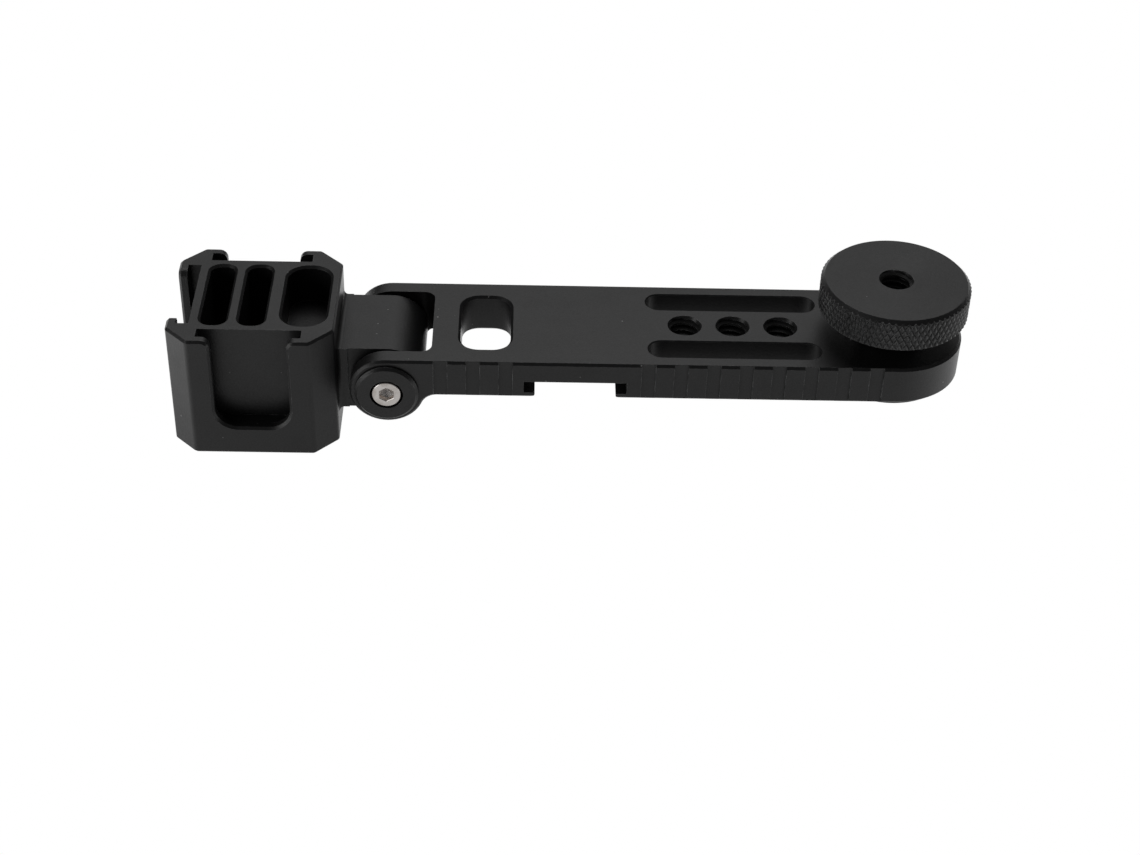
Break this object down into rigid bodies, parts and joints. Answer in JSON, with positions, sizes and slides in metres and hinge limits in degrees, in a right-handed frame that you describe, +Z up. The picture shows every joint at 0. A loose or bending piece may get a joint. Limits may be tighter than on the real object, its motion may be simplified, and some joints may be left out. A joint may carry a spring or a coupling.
{
  "type": "folding cold shoe bracket",
  "caption": "Flat slotted arm with a knurled thumb screw at one end and, on a friction hinge at the other, a block with accessory shoes on three faces.",
  "frame": {"origin": "on the thumb screw's axis, in the arm's underside", "axes": "+X along the arm from the hinge to the thumb screw, +Y across it, +Z up out of the arm's top face"},
  "size_m": [0.1444, 0.03, 0.0305],
  "materials": {
    "anodised_aluminium": "bead-blasted, black anodised",
    "wheel_black": "turned and knurled, black anodised",
    "pivot_black": "turned, black oxide",
    "stainless_steel": "bright stainless",
    "spring_steel": "dark spring steel",
    "nylon": "black nylon",
    "rubber": "matte black rubber"
  },
  "bodies": {
    "arm": {"arm": "anodised_aluminium", "pivot_sleeve": "pivot_black", "pivot_nut": "pivot_black", "pivot_screw": "stainless_steel", "disc_spring_near": "spring_steel", "disc_spring_far": "spring_steel", "friction_washer_near": "nylon", "friction_washer_far": "nylon", "anti_slip_pad": "rubber"},
    "shoe_head": {"shoe_block": "anodised_aluminium"},
    "knob_carrier": {"knob_washer": "nylon"},
    "thumb_screw": {"thumb_wheel": "wheel_black", "thumb_stud": "stainless_steel"}
  },
  "joints": [
    {"name": "fold", "type": "hinge", "parent": "arm", "child": "shoe_head", "pos_m": [-0.0917, 0, 0.00075], "axis": [0, 1, 0], "range_deg": [-115, 96]},
    {"name": "knob_lift", "type": "slide", "parent": "arm", "child": "knob_carrier", "axis": [0, 0, 1], "range_m": [0, 0.0051]},
    {"name": "knob_turn", "type": "hinge", "parent": "knob_carrier", "child": "thumb_screw", "pos_m": [0, 0, 0], "axis": [0, 0, 1], "range_deg": [0, 1440]}
  ],
  "couplings": [
    {"joint": "knob_lift", "follows": "knob_turn", "m_per_rad": 0.00020213}
  ]
}
